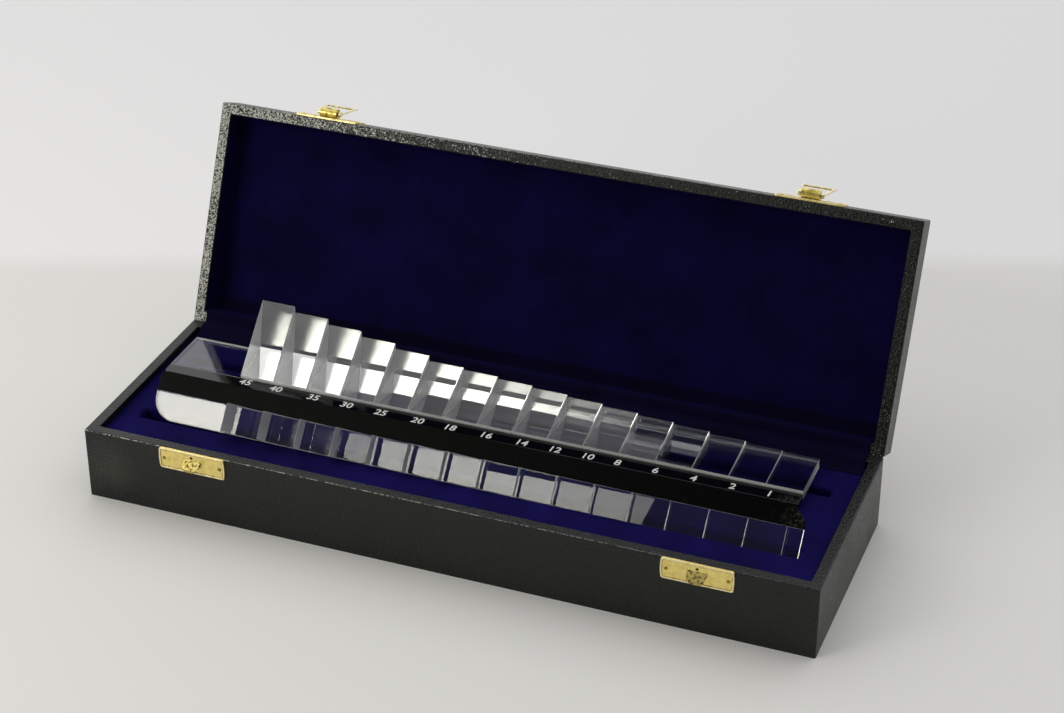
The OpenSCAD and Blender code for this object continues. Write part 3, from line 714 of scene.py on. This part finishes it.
class PRISM_CASE_OT_base_velvet(bpy.types.Operator):
    """Lays the velvet over the foam, down into the two slits"""
    bl_idname = "prism_case.base_velvet"
    bl_label = "Base velvet"

    def execute(self, context):
        sizes = context.scene.prism_case_sizes
        half_x = HALF_L - sizes.wall
        front, back = FRONT_Y + sizes.wall, BACK_Y - sizes.wall
        top = RIM_Z - sizes.velvet_drop
        slit_x = HALF_L - sizes.slit_end
        slits = ((FRONT_SLIT_Y, sizes.front_slit), (BACK_SLIT_Y, sizes.back_slit))
        piece = flat_piece("velvet_base_sheet", (0, (front + back) / 2, top), (2 * half_x, back - front))
        cut(piece, [(X * x, X) for x in (-slit_x, slit_x)]
            + [(Y * (y + way * w / 2), Y) for y, w in slits for way in (-1, 1)])
        with picked(piece, "FACE", lambda c, n: abs(c.x) < slit_x
                    and any(abs(c.y - y) < w / 2 for y, w in slits)):
            bpy.ops.mesh.extrude_region_move(TRANSFORM_OT_translate={"value": (0, 0, -sizes.lip)})
            bpy.ops.mesh.delete(type="FACE")

        def lip_edge(a, b):
            level = abs(a.z - top) < NEAR and abs(b.z - top) < NEAR and abs(a.y - b.y) < NEAR
            within = abs(a.x) < slit_x + NEAR and abs(b.x) < slit_x + NEAR
            return level and within and any(abs(abs(a.y - y) - w / 2) < NEAR for y, w in slits)

        with picked(piece, "EDGE", lip_edge):
            bpy.ops.mesh.bevel(offset=1.9 * MM, segments=5)
        # Close rows of faces, so that the sheet can lie unevenly
        rows = (-48, -42, -36.5, -22, -14, -6, 2, 10, 18, 34, 42, 49)
        cut(piece, even_cuts(-half_x, half_x, 48, X) + [(Y * (y * MM), Y) for y in rows])
        swell(piece, "velvet_swell", 30 * MM, 0.85)
        finish_piece(piece, "base", "base_velvet", "base_velvet", "base_velvet")
        return {"FINISHED"}


class PRISM_CASE_OT_lid_velvet(bpy.types.Operator):
    """Lines the lid with velvet"""
    bl_idname = "prism_case.lid_velvet"
    bl_label = "Lid velvet"

    def execute(self, context):
        sizes = context.scene.prism_case_sizes
        low = (-HALF_L + sizes.wall, FRONT_Y + sizes.wall, RIM_Z + sizes.turn_in_lid)
        high = (HALF_L - sizes.wall, BACK_Y - sizes.wall, RIM_Z + LINING_HEIGHT)
        piece = block("velvet_lid_lining", low, high)
        with picked(piece, "FACE", lambda c, n: n.z < -FACING):
            bpy.ops.mesh.delete(type="FACE")
        with picked(piece, "EDGE", lambda a, b: abs(a.z - high[2]) < NEAR and abs(b.z - high[2]) < NEAR):
            bpy.ops.mesh.bevel(offset=1.2 * MM, segments=4)
        cut(piece, even_cuts(low[0], high[0], 40, X) + even_cuts(low[1], high[1], 12, Y))
        swell(piece, "lining_swell", 35 * MM, 0.2)
        open_lid(piece)
        finish_piece(piece, "lid", "lid_velvet", "lid_velvet", "lid_velvet")
        return {"FINISHED"}


class PRISM_CASE_OT_hinge_velvet(bpy.types.Operator):
    """Runs the strip of velvet that is the hinge from the base's lining over both rims to the lid's"""
    bl_idname = "prism_case.hinge_velvet"
    bl_label = "Hinge velvet"

    def execute(self, context):
        sizes = context.scene.prism_case_sizes
        half = HALF_L - sizes.strip_end
        top = RIM_Z - sizes.velvet_drop
        inner = BACK_Y - sizes.wall
        proud = 0.5 * MM

        def on_lid(y, z):
            p = LID_TURN @ Vector((0, y - BACK_Y, z)) + HINGE
            return (p.y, p.z)

        # Where the strip runs, as places seen from its end. It starts on the base's velvet under the bars
        line = [(inner - 8.6 * MM, top + 0.05 * MM)]
        # It curves up to the base's rim and lies on it
        rise, run = RIM_Z + proud - top, 7.6 * MM
        radius = (run * run + rise * rise) / (2 * rise)
        steps = 7
        for i in range(1, steps + 1):
            along = run * i / steps
            line.append((inner - run + along, top + radius - math.sqrt(radius ** 2 - along ** 2)))
        line += [(BACK_Y - 4.2 * MM, RIM_Z + proud), (BACK_Y - 2.6 * MM, RIM_Z + proud)]
        # It bends at the hinge line
        line += [(BACK_Y - 1.15 * MM, RIM_Z + proud + 0.12 * MM),
                 (BACK_Y - 0.1 * MM, RIM_Z + proud + 0.85 * MM)]
        bend_end = on_lid(-2.6 * MM + BACK_Y, -proud)
        # It lies on the lid's rim, climbs the wall of its lining and turns onto the lining's top
        line += [bend_end, on_lid(-4.2 * MM + BACK_Y, -proud)]
        line += [on_lid(inner - 0.15 * MM, -proud), on_lid(inner - proud, 0.5 * MM)]
        line += [on_lid(inner - proud, z * MM) for z in (4, 8, 12, 14.1)]
        line += [on_lid(inner - y * MM, z * MM) for y, z in ((1.2, 14.6), (4, 14.6), (8, 14.65))]
        columns = 64
        points = [(-half + 2 * half * i / columns, y, z) for i in range(columns + 1) for y, z in line]
        n = len(line)
        corners = [i * n + j for i in range(columns) for j in range(n - 1)]
        mesh = bpy.data.meshes.new("velvet_hinge_strip")
        mesh.from_pydata(points, [], [(a, a + n, a + n + 1, a + 1) for a in corners])
        piece = new_piece("velvet_hinge_strip", mesh)
        modify(piece, "SOLIDIFY", thickness=0.4 * MM, offset=0)
        smooth(piece, 80)
        run = sum(math.dist(a, b) for a, b in zip(line, line[1:]))
        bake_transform(piece)
        # Its velvet is the near-black painted shade
        finish_piece(piece, None, "hinge_velvet", "lid_velvet")
        return {"FINISHED"}


# ---- Catches ----

def plate_front(piece, body):
    """The way out of a plate's front, and how far along it the front lies: where most of its area is."""
    out = LID_TURN @ TO_FRONT if body == "lid" else TO_FRONT
    # Faces whose levels round to the same step lie on one plane
    step_mm = 0.05
    areas = {}
    for face in piece.data.polygons:
        if face.normal.dot(out) > 0.999:
            step = round(face.center.dot(out) / (step_mm * MM))
            areas[step] = areas.get(step, 0) + face.area
    return out, max(areas, key=areas.get) * step_mm * MM


def plate_border(name, node, body, out, level):
    """The border pressed up round a plate, a bead that follows its outline, and the tarnish in its foot. The
    bead's paler brass is a painted highlight.
    """
    sizes = bpy.context.scene.catch_sizes
    up = out.cross(X)
    depth = 0.3 * MM
    # For each ring: its name, how far inside the outline it begins, its width, its height and its finish. The
    # bead's pale finish is a painted highlight
    rings = ((f"{name}_bead", 0.05 * MM, sizes.plate_border, sizes.bead_height, "border_brass"),
             (f"{name}_foot", sizes.plate_border, 0.35 * MM, 0.02 * MM, "tack_brass"))
    for piece_name, inward, width, height, look in rings:
        ring = copy_of_node(piece_name, node)
        # The plate's outline, cut from its sheet, freed of its holes and brought to its front
        with picked(ring, "FACE"):
            bpy.ops.mesh.bisect(plane_co=out * (level - depth), plane_no=out, clear_inner=True,
                                clear_outer=True)
        across = [v.co.x for v in ring.data.vertices]
        tall = [v.co.dot(up) for v in ring.data.vertices]
        middle_x, half_x = (min(across) + max(across)) / 2, (max(across) - min(across)) / 2
        middle_u, half_u = (min(tall) + max(tall)) / 2, (max(tall) - min(tall)) / 2
        with picked(ring, "VERT", lambda v: abs(v.x - middle_x) < half_x - 2 * MM
                    and abs(v.dot(up) - middle_u) < half_u - 1 * MM):
            bpy.ops.mesh.delete(type="VERT")
            bpy.ops.mesh.select_all(action="SELECT")
            bpy.ops.mesh.remove_doubles(threshold=0.8 * MM)
            bpy.ops.mesh.edge_face_add()
            bpy.ops.transform.translate(value=out * depth)
        if ring.data.polygons[0].normal.dot(out) < 0:
            ring.data.flip_normals()
        with picked(ring, "FACE"):
            bpy.ops.mesh.inset(thickness=inward)
            bpy.ops.mesh.select_all(action="INVERT")
            bpy.ops.mesh.delete(type="FACE")
            bpy.ops.mesh.select_all(action="SELECT")
            bpy.ops.mesh.inset(thickness=width)
            bpy.ops.mesh.delete(type="FACE")
            bpy.ops.mesh.select_all(action="SELECT")
            bpy.ops.mesh.extrude_region_move(TRANSFORM_OT_translate={"value": out * height})
        if height > 0.1 * MM:
            round_edges(ring, height * 0.85, 40)
        smooth(ring, 40)
        finish_piece(ring, body, look, "catch_brass")


class PRISM_CASE_OT_catches(bpy.types.Operator):
    """Finishes the pressed plates with their hooks and knuckles, the hoops and the tacks"""
    bl_idname = "prism_case.catches"
    bl_label = "Catches"

    def execute(self, context):
        sizes = context.scene.catch_sizes
        # The flat of each plate, what is pressed out of it, and the hook's faces that look aside. The hook
        # gets a darker brass than its plate, and its faces that look aside get a darker brass still: painted
        # shade, with tarnish spots
        looks = {"base": ("plate_brass", "hook_brass", "hook_tarnish"),
                 "lid": ("lid_brass", "knuckle_brass")}
        for side in SIDES:
            for body in looks:
                node = f"{body}_catch_plate_{side}"
                piece = copy_of_node(f"{body}_plate_{side}", node)
                round_edges(piece, sizes.plate_edge, 40)
                smooth(piece)
                out, level = plate_front(piece, body)
                for face in piece.data.polygons:
                    pressed = face.center.dot(out) > level + 0.1 * MM
                    # Faces that look aside from the front get the darkest brass: painted shade, with some
                    # tarnish
                    aside = body == "base" and face.normal.dot(out) < 0.55
                    face.material_index = pressed * (1 + aside)
                finish_piece(piece, body, looks[body], "catch_brass", node)
                plate_border(f"{body}_plate_border_{side}", node, body, out, level)
            node = f"catch_hoop_{side}"
            piece = copy_of_node(f"hoop_{side}", node)
            round_edges(piece, sizes.hoop_edge, 40)
            smooth(piece, 40)
            finish_piece(piece, f"{side}_hoop", "hoop_brass", "catch_brass", node)
        for body in looks:
            dress(f"{body}_catch_tacks", "tack_brass")
        return {"FINISHED"}


# ---- Bars ----

def clear_piece(name, node, turn):
    """A clear piece from its CAD solid, its edges broken, and each face given its own finish from
    CLEAR_FACES. turn is how the bar lies."""
    sizes = bpy.context.scene.prism_bar_sizes
    up, along = turn @ Z, turn @ X
    piece = copy_of_node(name, node)
    if node == "narrow_bar_carrier":
        # Rounds the handle's cut corner
        low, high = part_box(node)
        with picked(piece, "EDGE", lambda a, b: abs((a - b).normalized().dot(up)) > 0.99
                    and a.x < low.x + 12 * MM and min(a.z, b.z) < low.z + 13 * MM):
            bpy.ops.mesh.bevel(offset=sizes.handle_corner, segments=6)
    round_edges(piece, sizes.polished_edge, 30, 2)
    levels = [v.co.dot(up) for v in piece.data.vertices]
    foot = min(levels)
    if "prism" in node:
        foot_top = foot + min(sizes.clear_foot, 0.45 * (max(levels) - foot))
        # A hair of air under the prism lets its foot mirror the light behind it
        with picked(piece, "VERT", lambda v: v.dot(up) < foot + sizes.polished_edge * 1.1):
            bpy.ops.transform.translate(value=up * sizes.air_gap)
            bpy.ops.mesh.select_all(action="SELECT")
            bpy.ops.mesh.bisect(plane_co=up * foot_top, plane_no=up)
    elif node == "narrow_bar_carrier":
        # Parts the handle's polished face from the face that the prisms are cemented to
        first_x = min(v.co.x for v in NODES["narrow_bar_prism_30"].data.vertices)
        cut(piece, [(X * (first_x + 0.1 * MM), along)])

    def look(face):
        """The finish of one face."""
        facing = face.normal.dot(up)
        if "narrow_bar_prism" in node and facing < -FACING:
            return "cemented"
        if node == "narrow_bar_carrier" and facing > FACING and face.center.x > first_x:
            return "cemented"
        if abs(facing) > 0.6:
            return "polished"
        if "wide_bar_prism" in node and face.normal.y > FACING:
            if face.center.dot(up) < foot_top:
                return "polished"
            # The backs of the weaker prisms are smoothed further
            return "clear_back" if int(node.rsplit("_", 1)[1]) <= 12 else "back"
        return "sawn" if face.normal.y < -0.6 else "ground"

    for face in piece.data.polygons:
        face.material_index = CLEAR_FACES.index(look(face))
    bpy.ops.object.shade_flat()
    return piece


def bar(body, powers, turn, strip, look):
    """Finishes a bar: its carrier, its prisms and its black strip."""
    for part in ("carrier", *(f"prism_{power}" for power in powers)):
        node = f"{body}_{part}"
        piece = clear_piece(node.replace("_bar", ""), node, turn)
        finish_piece(piece, body, CLEAR_FACES, "clear_plastic", node)
    piece = copy_of_node(body.replace("_bar", "_strip"), strip)
    round_edges(piece, 0.3 * MM, 30)
    smooth(piece)
    finish_piece(piece, body, look, "black_plastic", strip)


class PRISM_CASE_OT_wide_bar(bpy.types.Operator):
    """Finishes the wide bar: its carrier, its sixteen prisms, its black strip and its numbers"""
    bl_idname = "prism_case.wide_bar"
    bl_label = "Wide bar"

    def execute(self, context):
        sizes = context.scene.prism_bar_sizes
        strip = "wide_bar_number_strip"
        bar("wide_bar", WIDE_POWERS, Matrix.Identity(3), strip, "black")
        low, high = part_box(strip)
        # A numeral's height as a share of the font's size
        numeral = 0.69
        pieces = []
        for power, (x, y) in zip(WIDE_POWERS, NUMBER_PLACES):
            bpy.ops.object.select_all(action="DESELECT")
            bpy.ops.object.text_add(location=(0, 0, 0))
            adjust(bpy.context.object.data, body=str(power), size=sizes.number_height / numeral,
                   shear=sizes.number_slant, align_x="CENTER", align_y="CENTER", offset=sizes.number_weight,
                   extrude=0.015 * MM, resolution_u=4)
            bpy.ops.object.convert(target="MESH")
            bpy.context.object.location = (low.x + x * MM, low.y + y * MM, high.z + 0.02 * MM)
            bpy.ops.object.transform_apply(location=True, rotation=True, scale=True)
            pieces.append(bpy.context.object)
        solo(pieces[0])
        for piece in pieces:
            piece.select_set(True)
        bpy.ops.object.join()
        numbers = bpy.context.object
        numbers.name = "wide_strip_numbers"
        finish_piece(numbers, "wide_bar", "paint", "black_plastic")
        return {"FINISHED"}


class PRISM_CASE_OT_narrow_bar(bpy.types.Operator):
    """Finishes the narrow bar: its carrier, its fifteen prisms and its black strip"""
    bl_idname = "prism_case.narrow_bar"
    bl_label = "Narrow bar"

    def execute(self, context):
        bar("narrow_bar", NARROW_POWERS, NARROW_TURN, "narrow_bar_black_strip", "satin")
        return {"FINISHED"}


# ---- Stage ----

def aimed(data, place, way, axis):
    """Puts a lamp or a camera in its place, with its axis turned along the way."""
    piece = new_piece(data.name, data)
    piece.location = place
    piece.rotation_mode = "QUATERNION"
    piece.rotation_quaternion = Vector(way).to_track_quat(axis, "Y")
    return piece


class PRISM_CASE_OT_stage(bpy.types.Operator):
    """Makes the card, the light and the camera"""
    bl_idname = "prism_case.stage"
    bl_label = "Stage"

    def execute(self, context):
        card = flat_piece("card", (0, 0, 0), (CARD_SIDE, CARD_SIDE))
        card.data.materials.append(finish("card"))

        world = bpy.data.worlds.new("studio")
        context.scene.world = world
        world.use_nodes = True
        tree = world.node_tree
        tree.nodes.clear()
        # A bright sweep behind and above, and a dim room in front
        way = add(tree, "TexCoord", out="Generated")
        lean = add(tree, "VectorMath", {0: way, 1: BRIGHT_WAY}, out="Value", operation="DOT_PRODUCT")
        level = add(tree, "ValToRGB", {"Fac": lean},
                    stops=((0.0, 0.04), (0.22, 0.08), (0.5, 0.7), (0.8, 1.0)))
        light = add(tree, "Background", {"Color": level, "Strength": ROOM_LIGHT})
        seen = add(tree, "Background", {"Color": "#f0eff0", "Strength": 1.0})
        camera_ray = add(tree, "LightPath", out="Is Camera Ray")
        mix = add(tree, "MixShader", {0: camera_ray, 1: light, 2: seen})
        add(tree, "OutputWorld", {"Surface": mix})

        # A wide window to the left of the camera, whose panes dim towards both ends, and a low pane
        for i, (left, right, low, high, radiance) in enumerate(WINDOW_PANES):
            wide, tall = right - left, high - low
            data = adjust(bpy.data.lights.new(f"window_pane_{i}", "AREA"), shape="RECTANGLE", size=wide,
                          size_y=tall, energy=radiance * math.pi * wide * tall, color=DAYLIGHT)
            aimed(data, ((left + right) / 2, WINDOW_Y, (low + high) / 2), TO_FRONT, "Z")

        data = adjust(bpy.data.cameras.new("photo_camera"), sensor_fit="HORIZONTAL", sensor_width=FRAME_WIDTH,
                      lens=LENS, clip_start=0.01, clip_end=100)
        context.scene.camera = aimed(data, CAMERA_PLACE, CAMERA_WAY, "-Z")
        context.scene.view_settings.view_transform = "Standard"
        return {"FINISHED"}


# ---- Panel and registration ----

# In the order in which they run
OPERATORS = (
    PRISM_CASE_OT_stage,
    PRISM_CASE_OT_base_leathercloth,
    PRISM_CASE_OT_lid_leathercloth,
    PRISM_CASE_OT_boards,
    PRISM_CASE_OT_foam_pad,
    PRISM_CASE_OT_base_velvet,
    PRISM_CASE_OT_lid_velvet,
    PRISM_CASE_OT_hinge_velvet,
    PRISM_CASE_OT_catches,
    PRISM_CASE_OT_wide_bar,
    PRISM_CASE_OT_narrow_bar,
)

GROUPS = {
    "prism_case_sizes": PrismCaseSizes,
    "prism_bar_sizes": PrismBarSizes,
    "catch_sizes": CatchSizes,
    "prism_case_colours": PrismCaseColours,
}


class PRISM_CASE_PT_panel(bpy.types.Panel):
    """Lists the pieces, the stage and their settings"""
    bl_idname = "PRISM_CASE_PT_panel"
    bl_label = "Prism bars"
    bl_space_type = "VIEW_3D"
    bl_region_type = "UI"
    bl_category = "Prism bars"

    def draw(self, context):
        for group in GROUPS:
            settings = getattr(context.scene, group)
            column = self.layout.column(align=True)
            for name in settings.bl_rna.properties.keys():
                if name not in ("rna_type", "name"):
                    column.prop(settings, name)
        for operator in OPERATORS:
            self.layout.operator(operator.bl_idname)


def register():
    """Registers the settings, the operators and the panel."""
    for name, group in GROUPS.items():
        bpy.utils.register_class(group)
        setattr(bpy.types.Scene, name, bpy.props.PointerProperty(type=group))
    for item in (*OPERATORS, PRISM_CASE_PT_panel):
        bpy.utils.register_class(item)


def unregister():
    """Takes the panel, the operators and the settings away again."""
    for item in (PRISM_CASE_PT_panel, *reversed(OPERATORS)):
        bpy.utils.unregister_class(item)
    for name, group in reversed(GROUPS.items()):
        delattr(bpy.types.Scene, name)
        bpy.utils.unregister_class(group)


def main():
    """Builds every piece."""
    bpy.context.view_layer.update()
    register()
    for operator in OPERATORS:
        getattr(bpy.ops.prism_case, operator.bl_idname.split(".")[1])()
    bpy.context.view_layer.update()


if __name__ == "__main__":
    main()
